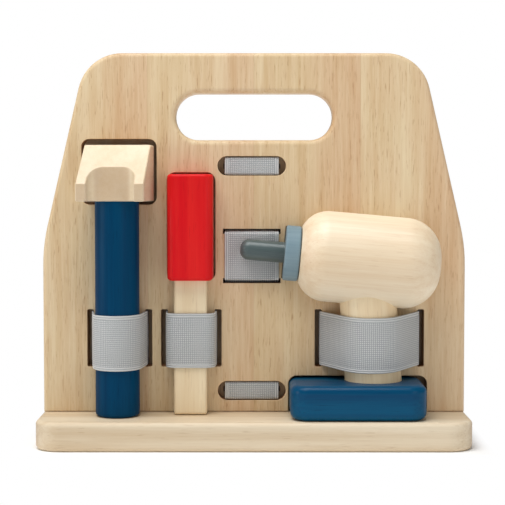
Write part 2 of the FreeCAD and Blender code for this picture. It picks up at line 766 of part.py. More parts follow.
def make_drill_barrel():
    """Turned about its own axis, with the nose at the origin and the rear along X."""
    body = new_body("drill_barrel")
    radius, length, nose = size("barrel_radius"), size("barrel_length"), size("barrel_nose_radius")
    bore = size("shank_radius") + size("shank_fit")
    bore_end = size("shank_length") + size("dowel_end_gap")
    clip_start = size("clip_place")
    clip_end = clip_start + size("clip_thick")
    profile = new_sketch(body, "XZ_Plane")
    polygon(
        profile,
        [
            (bore_end, 0),
            (length, 0),
            (length, radius),
            (size("barrel_cone"), radius),
            (0, nose),
            (0, bore),
            (bore_end - clip_end, bore),
            (bore_end - clip_end, size("clip_radius")),
            (bore_end - clip_start, size("clip_radius")),
            (bore_end - clip_start, bore),
            (bore_end, bore),
        ],
    )
    turned(body, profile)
    rounded(body, edge_round_at(length, radius), size("barrel_rear_round"))
    rounded(body, edge_round_at(size("barrel_cone"), radius), size("barrel_cone_round"))
    rounded(body, edge_round_at(0, nose), size("ring_round"))
    # the socket's axis is the grip's, which leans back from square
    grip_angle = size("grip_lean") + size("barrel_tilt")
    socket = new_sketch(body, "XZ_Plane", across=size("grip_to_nose"), degrees=grip_angle - 90)
    inner, outer, grip = grip_socket_depth(), radius * 2, size("grip_radius")
    polygon(socket, [(inner, 0), (outer, 0), (outer, grip), (inner, grip)])
    turned(body, socket, cut=True)
    place(body, nose_across, drill_depth, nose_height, ABOUT_Y, size("barrel_tilt"))
    return body


def grip_socket_depth():
    """How far from the barrel's axis the grip stops."""
    return half_chord(size("barrel_radius"), size("grip_radius")) - size("grip_in_barrel")


def make_drill_grip():
    body = new_body("drill_grip")
    below = (strap_height - foot_bottom - size("foot_height")) / cosine(size("grip_lean"))
    bottom = below + size("grip_in_foot")
    top = (barrel_height - strap_height) / cosine(size("grip_lean")) - grip_socket_depth()
    section = new_sketch(body, "XY_Plane", out=-bottom)
    circle(section, 0, 0, size("grip_radius"))
    pad(body, section, bottom + top)
    rounded(body, flat_at("z", -bottom), size("grip_end_chamfer"), "Chamfer")
    place(body, size("drill_across"), drill_depth, strap_height, ABOUT_Y, -size("grip_lean"))
    return body


def make_drill_foot():
    body = new_body("drill_foot")
    height = size("foot_height")
    outline = new_sketch(body, "XY_Plane")
    middle = size("foot_length") / 2 - size("foot_reach")
    rectangle(outline, middle, -size("foot_forward"), size("foot_length"), size("foot_depth"))
    pad(body, outline, height)
    rounded(body, along((0, 0, 1)), size("foot_corner"))
    low, high = flat_at("z", 0), flat_at("z", height)
    rounded(body, lambda edge: low(edge) or high(edge), size("foot_round"))
    socket = new_sketch(
        body,
        "XZ_Plane",
        across=tangent(size("grip_lean")) * (strap_height - foot_bottom - height),
        up=height,
        degrees=size("grip_lean") + 90,
    )
    floor, mouth, grip = -size("grip_in_foot"), size("foot_height"), size("grip_radius")
    polygon(socket, [(floor, 0), (mouth, 0), (mouth, grip), (floor, grip)])
    turned(body, socket, cut=True)
    place(body, size("drill_across"), drill_depth, foot_bottom)
    return body


def make_chuck_ring():
    body = new_body("chuck_ring")
    start, end = -(size("ring_length") + size("loose_gap")), -size("loose_gap")
    inner, outer = size("shank_radius"), size("ring_radius")
    profile = new_sketch(body, "XZ_Plane")
    polygon(profile, [(start, inner), (end, inner), (end, outer), (start, outer)])
    turned(body, profile)
    for x in (start, end):
        rounded(body, edge_round_at(x, outer), size("ring_round"))
    place(body, nose_across, drill_depth, nose_height, ABOUT_Y, size("barrel_tilt"))
    return body


def make_drill_bit():
    """A round-ended peg whose thinner shank runs through the ring into the barrel."""
    body = new_body("drill_bit")
    shoulder = -(size("ring_length") + size("loose_gap"))
    tip = shoulder - size("bit_length")
    shank, neck = size("shank_radius"), size("clip_neck")
    bore_end = size("shank_length") + size("dowel_end_gap")
    spare = size("dowel_end_gap") / 4
    neck_start = bore_end - size("clip_place") - size("clip_thick") - spare
    neck_end = bore_end - size("clip_place") + spare
    end = size("shank_length")
    profile = new_sketch(body, "XZ_Plane")
    polygon(
        profile,
        [
            (tip, 0),
            (end, 0),
            (end, shank),
            (neck_end, shank),
            (neck_end, neck),
            (neck_start, neck),
            (neck_start, shank),
            (shoulder, shank),
            (shoulder, size("bit_radius")),
            (tip, size("bit_radius")),
        ],
    )
    turned(body, profile)
    rounded(body, edge_round_at(tip, size("bit_radius")), size("bit_tip_round"))
    place(body, nose_across, drill_depth, nose_height, ABOUT_Y, size("barrel_tilt"))
    return body


def make_bit_clip():
    """The spring clip in the barrel's bore that keeps the turning shank in."""
    body = new_body("bit_clip")
    bore_end = size("shank_length") + size("dowel_end_gap")
    start, end = bore_end - size("clip_place") - size("clip_thick"), bore_end - size("clip_place")
    inner = size("clip_neck") + size("loose_gap")
    profile = new_sketch(body, "XZ_Plane")
    outer = size("clip_radius")
    polygon(profile, [(start, inner), (end, inner), (end, outer), (start, outer)])
    turned(body, profile)
    place(body, nose_across, drill_depth, nose_height, ABOUT_Y, size("barrel_tilt"))
    return body


# Elastic -------------------------------------------------------------------------------


def point_in_front(x, forward):
    """A point a distance in front of the upright board's face, at the strap's lower edge."""
    return FreeCAD.Vector(x, panel_front.number - forward, 0)


def rounding_arc(centre_x, centre_forward, radius, start, end):
    """An arc from one angle to another, measured from +X towards the front."""
    points = [
        point_in_front(centre_x + radius * math.cos(a), centre_forward + radius * math.sin(a))
        for a in (start, (start + end) / 2, end)
    ]
    return Part.Arc(*points).toShape()


def make_loop(label, across, reach, half_flat, radius, forward):
    """An endless loop: round a tool in front, through two slots, and across the back.

    half_flat and radius give the tool's front as two rounded corners, whose centres lie
    forward of the board's face.
    """
    thick, gap = size("strap_thick").number, size("strap_gap").number
    edge = reach.number + gap
    back = (size("channel_depth") - size("panel_thick")).number - gap
    flat, radius, forward = half_flat.number, radius.number, forward.number
    to_slot = math.hypot(edge - flat, forward)
    lean = math.acos(radius / to_slot) - math.atan2(forward, edge - flat)
    leave_x = flat + radius * math.cos(lean)
    leave_forward = forward + radius * math.sin(lean)
    quarter = math.pi / 2
    edges = [
        Part.makeLine(point_in_front(edge, back), point_in_front(edge, 0)),
        Part.makeLine(point_in_front(edge, 0), point_in_front(leave_x, leave_forward)),
        rounding_arc(flat, forward, radius, lean, quarter),
        rounding_arc(-flat, forward, radius, quarter, math.pi - lean),
        Part.makeLine(point_in_front(-leave_x, leave_forward), point_in_front(-edge, 0)),
        Part.makeLine(point_in_front(-edge, 0), point_in_front(-edge, back)),
        Part.makeLine(point_in_front(-edge, back), point_in_front(edge, back)),
    ]
    if flat > CLOSE:
        front = forward + radius
        edges.insert(3, Part.makeLine(point_in_front(flat, front), point_in_front(-flat, front)))
    inside = Part.Wire(edges)
    outside = inside.makeOffset2D(thick)
    band = Part.Face(outside).cut(Part.Face(inside))
    strap = document.addObject("Part::Feature", label)
    strap.Label = label
    strap.Shape = band.extrude(FreeCAD.Vector(0, 0, size("strap_width").number)).Solids[0]
    place(strap, across, 0, strap_height - size("strap_width") / 2)
    return strap


def make_hammer_strap():
    radius = size("hammer_radius") + size("loose_gap")
    across, reach = size("hammer_across"), size("hammer_slot_reach")
    return make_loop("hammer_strap", across, reach, as_size(0), radius, radius)


def make_driver_strap():
    corner = size("driver_strap_round")
    half_flat = size("driver_shaft_width") / 2 - size("driver_shaft_round")
    forward = size("driver_shaft_thick") + size("loose_gap") * 2 - corner
    across, reach = size("driver_across"), size("driver_slot_reach")
    return make_loop("screwdriver_strap", across, reach, half_flat, corner, forward)


def make_drill_strap():
    sway = tangent(size("grip_lean")) * size("strap_width") / 2
    radius = size("grip_radius") + size("loose_gap")
    across, reach = size("drill_across"), size("drill_slot_reach")
    return make_loop("drill_strap", across, reach, sway, radius, size("drill_forward"))


def anchor_turns(height, sign):
    """The strap's middle line round an anchor bar, from its cut end to the board's back."""
    thick, gap = size("strap_thick").number, size("strap_gap").number
    layer = (thick + gap) / 2 * sign
    side = (size("anchor_bar_height").number + thick) / 2 + gap
    front = -size("anchor_set_back").number - thick / 2
    behind = front - thick - size("anchor_bar_depth").number - 2 * gap
    back = (size("channel_depth") - size("panel_thick")).number - gap - thick / 2
    cut_end = back + thick
    return [
        (cut_end, height + layer),
        (behind, height + layer),
        (behind, height + side * sign),
        (front, height + side * sign),
        (front, height - side * sign),
        (behind, height - side * sign),
        (behind, height - layer),
        (back, height - layer),
    ]


def make_centre_strap():
    """A flat strap behind the board that crosses the front once, between two slots."""
    thick, gap = size("strap_thick").number, size("strap_gap").number
    back = (size("channel_depth") - size("panel_thick")).number - gap - thick / 2
    front = gap + thick / 2
    towards_web = size("window_slot_height").number / 2 - gap - thick / 2
    upper = (base_top + size("window_upper_rise")).number - towards_web
    lower = (base_top + size("window_lower_rise")).number + towards_web
    top_turns = anchor_turns((base_top + size("anchor_upper_rise")).number, 1)
    bottom_turns = anchor_turns((base_top + size("anchor_lower_rise")).number, -1)
    middle = [(back, upper), (front, upper), (front, lower), (back, lower)]
    line = top_turns + middle + bottom_turns[::-1]
    corners = [FreeCAD.Vector(0, panel_front.number - forward, height) for forward, height in line]
    face = Part.makePolygon(corners).makeOffset2D(thick / 2, 0, True)
    width = size("strap_width").number
    strap = document.addObject("Part::Feature", "centre_strap")
    strap.Label = "centre_strap"
    strap.Shape = face.extrude(FreeCAD.Vector(width, 0, 0)).Solids[0]
    place(strap, size("centre_across") - size("strap_width") / 2, 0, 0)
    return strap


def make_anchor_bar(label, rise):
    body = new_body(label)
    section = new_sketch(body, "XY_Plane")
    rectangle(section, 0, 0, size("strap_width"), size("anchor_bar_depth"))
    pad(body, section, size("anchor_bar_height"), symmetric=True)
    rounded(body, along((1, 0, 0)), size("anchor_bar_round"))
    front = size("anchor_set_back") + size("strap_thick") + size("strap_gap")
    depth = panel_front + front + size("anchor_bar_depth") / 2
    place(body, size("centre_across"), depth, base_top + rise)
    return body


# Assembly ------------------------------------------------------------------------------

nodes = [
    make_base_board(),
    make_upright_panel(),
    make_back_sheet(),
    make_dowels(),
    make_screws(),
    make_hammer_head(),
    make_hammer_handle(),
    make_driver_handle(),
    make_driver_shaft(),
    make_drill_barrel(),
    make_drill_grip(),
    make_drill_foot(),
    make_chuck_ring(),
    make_drill_bit(),
    make_bit_clip(),
    make_hammer_strap(),
    make_driver_strap(),
    make_drill_strap(),
    make_centre_strap(),
    make_anchor_bar("upper_anchor_bar", size("anchor_upper_rise")),
    make_anchor_bar("lower_anchor_bar", size("anchor_lower_rise")),
]
document.recompute()

for thing in document.Objects:
    if "Invalid" in thing.State or "Error" in thing.State:
        raise ValueError(f"{thing.Name} ({thing.Label}) failed: {thing.State}")
for node in nodes:
    if node.Shape.isNull() or not node.Shape.isValid():
        raise ValueError(f"{node.Label} has no sound shape")

os.makedirs("parts", exist_ok=True)
for node in nodes:
    node.Shape.exportStep(f"parts/{node.Label}.step")
    print(node.Label, len(node.Shape.Solids), round(node.Shape.Volume, 1))
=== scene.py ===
import math

import bmesh
import bpy
from mathutils import Matrix, Vector


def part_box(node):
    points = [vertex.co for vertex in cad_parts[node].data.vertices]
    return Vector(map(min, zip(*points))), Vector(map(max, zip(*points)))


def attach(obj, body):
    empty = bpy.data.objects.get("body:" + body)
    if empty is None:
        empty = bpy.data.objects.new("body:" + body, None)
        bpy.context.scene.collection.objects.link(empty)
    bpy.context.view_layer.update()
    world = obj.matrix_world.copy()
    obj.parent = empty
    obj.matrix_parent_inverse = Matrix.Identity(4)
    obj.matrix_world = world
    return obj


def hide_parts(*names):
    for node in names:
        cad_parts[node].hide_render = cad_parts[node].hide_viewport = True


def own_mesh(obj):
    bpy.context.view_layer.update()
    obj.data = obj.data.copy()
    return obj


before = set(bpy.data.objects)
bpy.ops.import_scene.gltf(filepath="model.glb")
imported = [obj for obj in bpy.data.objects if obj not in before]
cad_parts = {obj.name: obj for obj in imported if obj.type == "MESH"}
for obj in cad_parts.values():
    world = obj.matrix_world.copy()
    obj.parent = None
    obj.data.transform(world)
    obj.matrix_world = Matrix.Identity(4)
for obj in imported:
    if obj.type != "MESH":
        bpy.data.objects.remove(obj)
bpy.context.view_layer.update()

MM = 0.001


# Base board ----------------------------------------------------------------------------
# One planed board of pale beech with its grain along its length. Its corners and edges
# are rounded with a router, and it is sanded and sealed with a clear satin lacquer.


def srgb(red, green, blue):
    """A colour given as 0 to 255 on a screen, as the shader wants it."""
    channels = []
    for value in (red, green, blue):
        share = value / 255
        channels.append(share / 12.92 if share <= 0.04045 else ((share + 0.055) / 1.055) ** 2.4)
    return (*channels, 1.0)


class Wire:
    """An output of a shader node. Sums on wires add the Math nodes that they need."""

    def __init__(self, paint, socket):
        self.paint = paint
        self.socket = socket

    def worked(self, operation, *values):
        """A Math node on the values, which include this wire where the operation needs it."""
        return self.paint.node("ShaderNodeMath", {"operation": operation}, dict(enumerate(values)))

    def size(self):
        """The same value without its sign."""
        return self.worked("ABSOLUTE", self)

    def __add__(self, other):
        return self.worked("ADD", self, other)

    def __sub__(self, other):
        return self.worked("SUBTRACT", self, other)

    def __mul__(self, other):
        return self.worked("MULTIPLY", self, other)

    def __truediv__(self, other):
        return self.worked("DIVIDE", self, other)

    def __rsub__(self, other):
        return self.worked("SUBTRACT", other, self)

    __radd__ = __add__
    __rmul__ = __mul__

    def between(self, low, high):
        """0 up to low, 1 from high, and a smooth step between."""
        settings = {"interpolation_type": "SMOOTHSTEP"}
        sockets = {"Value": self, "From Min": low, "From Max": high}
        return self.paint.node("ShaderNodeMapRange", settings, sockets)

    def wave(self):
        """A wave from 0 to 1 that rises and falls once for each whole number."""
        return 0.5 - 0.5 * self.worked("COSINE", self * math.tau)


def title(name):
    """A socket's own name, from the name that the script gives it."""
    return name.replace("_", " ").title().replace("Ior", "IOR")


class Paint:
    """A material, built around one Principled shader, whose constants it is given."""

    def __init__(self, name, **constants):
        self.material = bpy.data.materials.new(name)
        self.material.use_nodes = True
        self.tree = self.material.node_tree
        self.shader = self.tree.nodes["Principled BSDF"]
        for socket, value in constants.items():
            self.shader.inputs[title(socket)].default_value = value

    def node(self, kind, settings=None, sockets=None, output=0):
        """A new node: its settings first, then the values or wires of its sockets."""
        node = self.tree.nodes.new(kind)
        for name, value in (settings or {}).items():
            setattr(node, name, value)
        for name, value in (sockets or {}).items():
            self.feed(node.inputs[name], value)
        return Wire(self, node.outputs[output])

    def feed(self, socket, value):
        """Link a wire to a socket, or set the socket's own value."""
        if isinstance(value, Wire):
            self.tree.links.new(value.socket, socket)
        else:
            socket.default_value = value

    def plain(self, output="Object"):
        """Places in metres, or with the output "Normal" the way that a face looks."""
        return self.node("ShaderNodeTexCoord", output=output)

    def coordinates(self, place=(0, 0, 0), turn=(0, 0, 0)):
        """The piece's own coordinates, moved and turned so that the grain runs along Z."""
        turn = [math.radians(angle) for angle in turn]
        sockets = {"Vector": self.plain(), "Location": place, "Rotation": turn}
        return self.node("ShaderNodeMapping", None, sockets)

    def vectors(self, operation, *values, output=0):
        """A Vector Math node on the values."""
        settings = {"operation": operation}
        return self.node("ShaderNodeVectorMath", settings, dict(enumerate(values)), output)

    def stretched(self, vector, x, y, z):
        """A place scaled along each axis: a share under 1 draws a pattern out."""
        return self.vectors("MULTIPLY", vector, (x, y, z))

    def noise(self, vector, scale, detail=3.0, roughness=0.55):
        """Soft noise, with scale features to the metre."""
        sockets = {"Vector": vector, "Scale": scale, "Detail": detail, "Roughness": roughness}
        return self.node("ShaderNodeTexNoise", None, sockets)

    def mixed(self, share, first, second):
        """Two colours mixed by a share of the second."""
        sockets = {0: share, 6: first, 7: second}
        return self.node("ShaderNodeMix", {"data_type": "RGBA"}, sockets, output=2)

    def split(self, vector, axis):
        """One of a vector's three numbers."""
        return self.node("ShaderNodeSeparateXYZ", None, {"Vector": vector}, axis)

    def bump(self, height, depth, strength=1.0):
        """A relief that is depth metres deep where height goes from 0 to 1."""
        sockets = {"Height": height, "Distance": depth, "Strength": strength}
        return self.node("ShaderNodeBump", None, sockets)

    def finish(self, **sockets):
        """Feed the shader what changes over the surface."""
        for socket, value in sockets.items():
            self.feed(self.shader.inputs[title(socket)], value)
        return self.material


FIBRE_STRETCH = 0.03
PORE_STRETCH = 0.07
STREAKS_PER_METRE = 42
LINES_PER_METRE = 260
FIBRES_PER_METRE = 1500
PORES_PER_METRE = 1250


def grain(paint, place, turn):
    """Wood's streaks, fine lines and pores, each from 0 to 1, from long stretched noise."""
    along = paint.stretched(paint.coordinates(place, turn), 1, 1, FIBRE_STRETCH)
    short = paint.stretched(paint.coordinates(place, turn), 1, 1, PORE_STRETCH)
    broad = paint.noise(along, STREAKS_PER_METRE, 2).between(0.32, 0.68)
    lines = paint.noise(along, LINES_PER_METRE, 4, 0.6).between(0.3, 0.7)
    fine = paint.noise(along, FIBRES_PER_METRE, 2, 0.6).between(0.25, 0.75)
    pores = paint.noise(short, PORES_PER_METRE, 1, 0.5).between(0.62, 0.74)
    return broad, lines, fine, pores * (0.35 + 0.65 * lines)


def bare_wood(
    name,
    pale,
    tan,
    fleck,
    place=(0, 0, 0),
    turn=(0, 0, 0),
    flecks=0.4,
    figure=1.0,
    shine=0.3,
    end_grain=0.3,
):
    """Lacquered bare wood: pale and tan streaks, short brown pores, and a faint relief.

    turn brings the grain's direction to Z; faces across it show darker end grain.
    """
    paint = Paint(name, coat_roughness=0.32, coat_weight=0.06, specular_ior_level=shine)
    broad, lines, fine, pores = grain(paint, place, turn)
    tone = figure * (0.5 * broad + 0.35 * lines + 0.15 * fine)
    colour = paint.mixed(tone, pale, tan)
    colour = paint.mixed(pores * flecks, colour, fleck)
    sockets = {"Vector": paint.plain("Normal"), "Rotation": [math.radians(a) for a in turn]}
    facing = paint.node("ShaderNodeMapping", {"vector_type": "NORMAL"}, sockets)
    cut_across = paint.split(facing, "Z").size().between(0.72, 0.95)
    colour = paint.mixed(cut_across * end_grain, colour, fleck)
    relief = fine * 0.5 + lines * 0.3 - pores * 0.8
    return paint.finish(
        base_color=colour,
        roughness=0.44 + 0.12 * fine + 0.08 * pores,
        normal=paint.bump(relief, 0.06 * MM, 0.6),
    )


def paint_node(node, material):
    """Give a node of the frame its material."""
    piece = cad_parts[node]
    piece.data.materials.clear()
    piece.data.materials.append(material)


ACROSS = (0, -90, 0)
base_wood = bare_wood(
    "base wood",
    srgb(234, 220, 195),
    srgb(207, 183, 149),
    srgb(160, 118, 78),
    place=(0.2, 0.31, 0.4),
    turn=ACROSS,
    flecks=0.3,
    shine=0.15,
)
paint_node("base_board", base_wood)


# Upright board -------------------------------------------------------------------------
# Four staves of beech glued edge to edge, with the grain upright. The staves differ a
# little in tone, from yellowish to pinkish, and the pores show as short brown dashes.

PANEL_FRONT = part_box("upright_panel")[0].y
STAVE_WIDTH = 61.5 * MM
STAVE_SHIFT = 3.7
STAVE_STRETCH = 0.04
STAVE_PORE_STRETCH = 0.1
PATCH_STRETCH = 0.3
SEAM_HALF = 0.005
# Bounds of the painted shade on the opening walls, and of the handle slot that it leaves out.
OPENING_SHADE_REACH = 107.4 * MM
OPENING_SHADE_TOP = 176 * MM
SLOT_REACH = 50 * MM
SLOT_LOW = 167.5 * MM
OPENING_SHADE_BLUR = 0.3 * MM
OPENING_SHADE_START = 0.35 * MM
OPENING_SHADE_FULL = 1.6 * MM


def painted_shade_in_openings(paint, plain):
    """1 on the walls of the openings for the tools, from a little behind the front: painted shade."""
    aside, height = paint.split(plain, "X").size(), paint.split(plain, "Z")
    inside = 1 - aside.between(OPENING_SHADE_REACH - OPENING_SHADE_BLUR, OPENING_SHADE_REACH)
    below = 1 - height.between(OPENING_SHADE_TOP - OPENING_SHADE_BLUR, OPENING_SHADE_TOP)
    within_slot = 1 - aside.between(SLOT_REACH, SLOT_REACH + OPENING_SHADE_BLUR)
    at_slot = within_slot * height.between(SLOT_LOW, SLOT_LOW + OPENING_SHADE_BLUR)
    depth = (paint.split(plain, "Y") - PANEL_FRONT).between(OPENING_SHADE_START, OPENING_SHADE_FULL)
    wall = 1 - paint.split(paint.plain("Normal"), "Y").size().between(0.8, 0.95)
    return depth * inside * below * (1 - at_slot) * wall


def stave_wood():
    """Staves side by side, each with its own stretch of grain and a hairline glue seam."""
    paint = Paint("upright board wood", coat_roughness=0.3, coat_weight=0.06, specular_ior_level=0.3)
    plain = paint.plain()
    across = paint.split(plain, "X") / STAVE_WIDTH
    stave = across.worked("FLOOR", across)
    shift = paint.node("ShaderNodeCombineXYZ", None, {"X": stave * STAVE_SHIFT, "Z": stave})
    moved = paint.vectors("ADD", plain, shift)
    along = paint.stretched(moved, 1, 1, STAVE_STRETCH)
    short = paint.stretched(moved, 1, 1, STAVE_PORE_STRETCH)
    cloudy = paint.stretched(moved, 1, 1, PATCH_STRETCH)
    broad = paint.noise(along, 45, 3).between(0.34, 0.66)
    lines = paint.noise(along, 240, 4, 0.6).between(0.3, 0.7)
    fine = paint.noise(along, 1400, 2, 0.6).between(0.25, 0.75)
    pores = paint.noise(short, 1300, 2, 0.5).between(0.58, 0.7) * (0.25 + 0.75 * lines)
    patches = paint.noise(cloudy, 60, 3, 0.6).between(0.35, 0.65)
    tone = 0.3 * broad + 0.45 * lines + 0.25 * fine
    yellowish = paint.mixed(tone, srgb(229, 210, 174), srgb(205, 175, 131))
    pinkish = paint.mixed(tone, srgb(223, 197, 162), srgb(196, 154, 111))
    within = across - stave
    colour = paint.mixed(within.between(0.4, 0.85) * 0.7 + patches * 0.3, yellowish, pinkish)
    colour = paint.mixed(pores * 0.5, colour, srgb(158, 104, 62))
    from_seam = (across - across.worked("ROUND", across)).size()
    seam = 1 - from_seam.between(0.0, SEAM_HALF)
    colour = paint.mixed(seam * 0.15, colour, srgb(140, 98, 62))
    # Painted shade: the walls inside the openings are mixed towards brown, for the shade that falls
    # in them.
    colour = paint.mixed(painted_shade_in_openings(paint, plain) * 0.85, colour, srgb(158, 100, 54))
    relief = fine * 0.5 + lines * 0.3 - pores * 0.8
    return paint.finish(
        base_color=colour,
        roughness=0.44 + 0.12 * fine + 0.1 * pores,
        normal=paint.bump(relief, 0.07 * MM, 0.6),
    )


paint_node("upright_panel", stave_wood())


# Back sheet ----------------------------------------------------------------------------
# Thin birch plywood glued behind the upright board, over the elastic. Its face veneer was
# peeled from a log, so its figure is broad and wavy, and its edge shows three plies.

SHEET_PLY = 1.0 * MM
# Depth of the painted shade on the sheet's front face.
SHADED_FRONT_SKIN = 0.3 * MM


def plywood():
    """Three plies: wavy peeled figure outside, a darker ply inside, and a front face browned as
    painted shade.
    """
    paint = Paint("birch plywood", coat_roughness=0.35, coat_weight=0.1)
    plain = paint.coordinates()
    depth = paint.split(plain, "Y")
    sheet_front, sheet_back = (corner.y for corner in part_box("back_sheet"))
    from_middle = depth - (sheet_front + sheet_back) / 2
    inner = 1 - from_middle.size().between(SHEET_PLY * 0.48, SHEET_PLY * 0.52)
    peeled = paint.stretched(plain, 1, 4, 0.16)
    swirl = paint.noise(peeled, 22, 3, 0.5)
    rings = (swirl * 7 + 0.2 * paint.noise(peeled, 160, 2)).wave()
    fine = paint.noise(paint.stretched(plain, 1, 1, 0.05), 1300, 2).between(0.3, 0.7)
    colour = paint.mixed(rings * 0.45 + fine * 0.2, srgb(234, 214, 178), srgb(208, 178, 134))
    colour = paint.mixed(inner * 0.7, colour, srgb(172, 132, 90))
    # Painted shade: the front face, seen only through the openings, is mixed towards dark brown.
    painted_shade_front = 1 - (depth - sheet_front).between(0.02 * MM, SHADED_FRONT_SKIN)
    colour = paint.mixed(painted_shade_front * 0.55, colour, srgb(120, 76, 44))
    return paint.finish(
        base_color=colour,
        roughness=0.46 + 0.12 * fine,
        normal=paint.bump(fine * 0.6 + rings * 0.2, 0.05 * MM, 0.5),
    )


paint_node("back_sheet", plywood())


# Dowels, screws and anchor bars --------------------------------------------------------
# Plain beech dowels, which place the upright board, and zinc-plated steel screws that
# clamp it from below. The centre strap's ends go round two more bars of beech dowel.

dowel_wood = bare_wood(
    "dowel wood", srgb(232, 208, 168), srgb(206, 172, 124), srgb(150, 104, 66), place=(0.5, 0.1, 0.2)
)
paint_node("panel_dowels", dowel_wood)

bar_wood = bare_wood(
    "anchor bar wood", srgb(228, 202, 160), srgb(200, 166, 118), srgb(150, 104, 66), turn=ACROSS
)
for bar in ("upper_anchor_bar", "lower_anchor_bar"):
    paint_node(bar, bar_wood)


def plated_steel():
    """Bright plating with small scuffs that dull it."""
    paint = Paint("zinc-plated steel", metallic=1.0)
    place = paint.coordinates()
    scuffs = paint.noise(paint.stretched(place, 1, 1, 6), 900, 3).between(0.35, 0.7)
    colour = paint.mixed(scuffs, srgb(206, 206, 200), srgb(168, 168, 166))
    return paint.finish(
        base_color=colour,
        roughness=0.25 + 0.25 * scuffs,
        normal=paint.bump(scuffs, 0.02 * MM, 0.4),
    )


steel = plated_steel()
paint_node("base_screws", steel)


# Hammer --------------------------------------------------------------------------------
# The head is a block of pale close-grained wood, sawn to a slope with a round notch for
# a claw. The handle is a round bar dipped in a blue stain that lets the grain show.

head_wood = bare_wood(
    "hammer head wood",
    srgb(232, 216, 188),
    srgb(215, 190, 152),
    srgb(168, 128, 84),
    place=(0.11, 0.42, 0.3),
    turn=(90, 0, 0),
    flecks=0.15,
    figure=0.8,
    shine=0.8,
    end_grain=0.4,
)
paint_node("hammer_head", head_wood)


EDGE_WEAR = 1.6 * MM


def stained_wood(name, deep, light, place=(0, 0, 0), turn=(0, 0, 0), shine=0.12, streaks=0.8):
    """Stained wood: the grain shows through as lighter streaks under a satin lacquer."""
    paint = Paint(name, coat_roughness=0.18, coat_weight=shine, specular_ior_level=0.04)
    broad, lines, fine, pores = grain(paint, place, turn)
    tone = streaks * (0.45 * broad + 0.4 * lines + 0.15 * fine)
    colour = paint.mixed(tone, deep, light)
    in_pores = (*[value * 0.55 for value in deep[:3]], 1)
    colour = paint.mixed(pores * 0.35, colour, in_pores)
    soft_edge = paint.node("ShaderNodeBevel", {"samples": 4}, {"Radius": EDGE_WEAR})
    flat = paint.node("ShaderNodeNewGeometry", output="Normal")
    turned = paint.vectors("DOT_PRODUCT", soft_edge, flat, output="Value")
    rubbed = (1 - turned).between(0.01, 0.12) * (0.3 + 0.7 * lines)
    colour = paint.mixed(rubbed * 0.35, colour, light)
    return paint.finish(
        base_color=colour,
        roughness=0.36 + 0.12 * fine + 0.1 * rubbed,
        normal=paint.bump(fine * 0.5 + lines * 0.3 - pores * 0.6, 0.05 * MM, 0.5),
    )


blue_handle = stained_wood(
    "blue stain", srgb(0, 44, 78), srgb(0, 70, 104), place=(0.3, 0.2, 0.1), shine=0.04
)
paint_node("hammer_handle", blue_handle)


# Screwdriver ---------------------------------------------------------------------------
# A rounded square handle stained a bright red, in which warm orange streaks of the grain
# show, with a flat bar of bare wood glued into it for the shaft.

red_handle = stained_wood(
    "red stain", srgb(210, 12, 26), srgb(232, 52, 42), place=(0.14, 0.5, 0.2), shine=0.12, streaks=0.7
)
paint_node("screwdriver_handle", red_handle)

shaft_wood = bare_wood(
    "screwdriver shaft wood",
    srgb(243, 228, 196),
    srgb(225, 200, 160),
    srgb(176, 136, 92),
    place=(0.33, 0.6, 0.15),
    flecks=0.25,
)
paint_node("screwdriver_shaft", shaft_wood)


# Drill ---------------------------------------------------------------------------------
# A turned barrel and a round grip of bare pale wood on a blue-stained foot. The chuck
# ring is stained blue-grey and the bit dark grey; they turn together in the barrel's nose.

BARREL_TILT = 5
GRIP_LEAN = 4
ALONG_BARREL = (0, -90 - BARREL_TILT, 0)
barrel_wood = bare_wood(
    "drill barrel wood",
    srgb(244, 230, 204),
    srgb(220, 190, 150),
    srgb(186, 140, 92),
    place=(0.07, 0.36, 0.2),
    turn=ALONG_BARREL,
    flecks=0.22,
    figure=0.85,
    shine=0.8,
    end_grain=0,
)
paint_node("drill_barrel", barrel_wood)

grip_wood = bare_wood(
    "drill grip wood",
    srgb(240, 222, 188),
    srgb(220, 190, 146),
    srgb(172, 130, 86),
    place=(0.52, 0.26, 0.1),
    turn=(0, GRIP_LEAN, 0),
    flecks=0.25,
)
paint_node("drill_grip", grip_wood)

blue_foot = stained_wood(
    "blue stain along the foot",
    srgb(0, 60, 96),
    srgb(0, 88, 122),
    place=(0.2, 0.7, 0.3),
    turn=ACROSS,
    shine=0.2,
)
paint_node("drill_foot", blue_foot)

ring_stain = stained_wood(
    "blue-grey stain",
    srgb(106, 130, 142),
    srgb(140, 160, 168),
    place=(0.6, 0.1, 0.5),
    turn=ALONG_BARREL,
    shine=0.1,
)
paint_node("chuck_ring", ring_stain)

bit_stain = stained_wood(
    "dark grey stain",
    srgb(62, 76, 78),
    srgb(112, 124, 122),
    place=(0.16, 0.3, 0.5),
    turn=ALONG_BARREL,
    shine=0.6,
)
paint_node("drill_bit", bit_stain)
paint_node("bit_clip", steel)


# Elastic loops -------------------------------------------------------------------------
# Flat woven elastic, 31 mm wide, with a ribbed edge along both sides. Each loop goes
# round its tool and through a slot on each side, and its two ends meet behind.

STRAP_THICK = 1.2 * MM
STRAP_GAP = 0.1 * MM
BUTT_GAP = 0.2 * MM
RIB_PITCH = 1.1 * MM
SELVAGE = 2.4 * MM
EDGE_START = 0.12 * MM
EDGE_ROUND = 0.45 * MM
WEAVE_DEPTH = 0.22 * MM


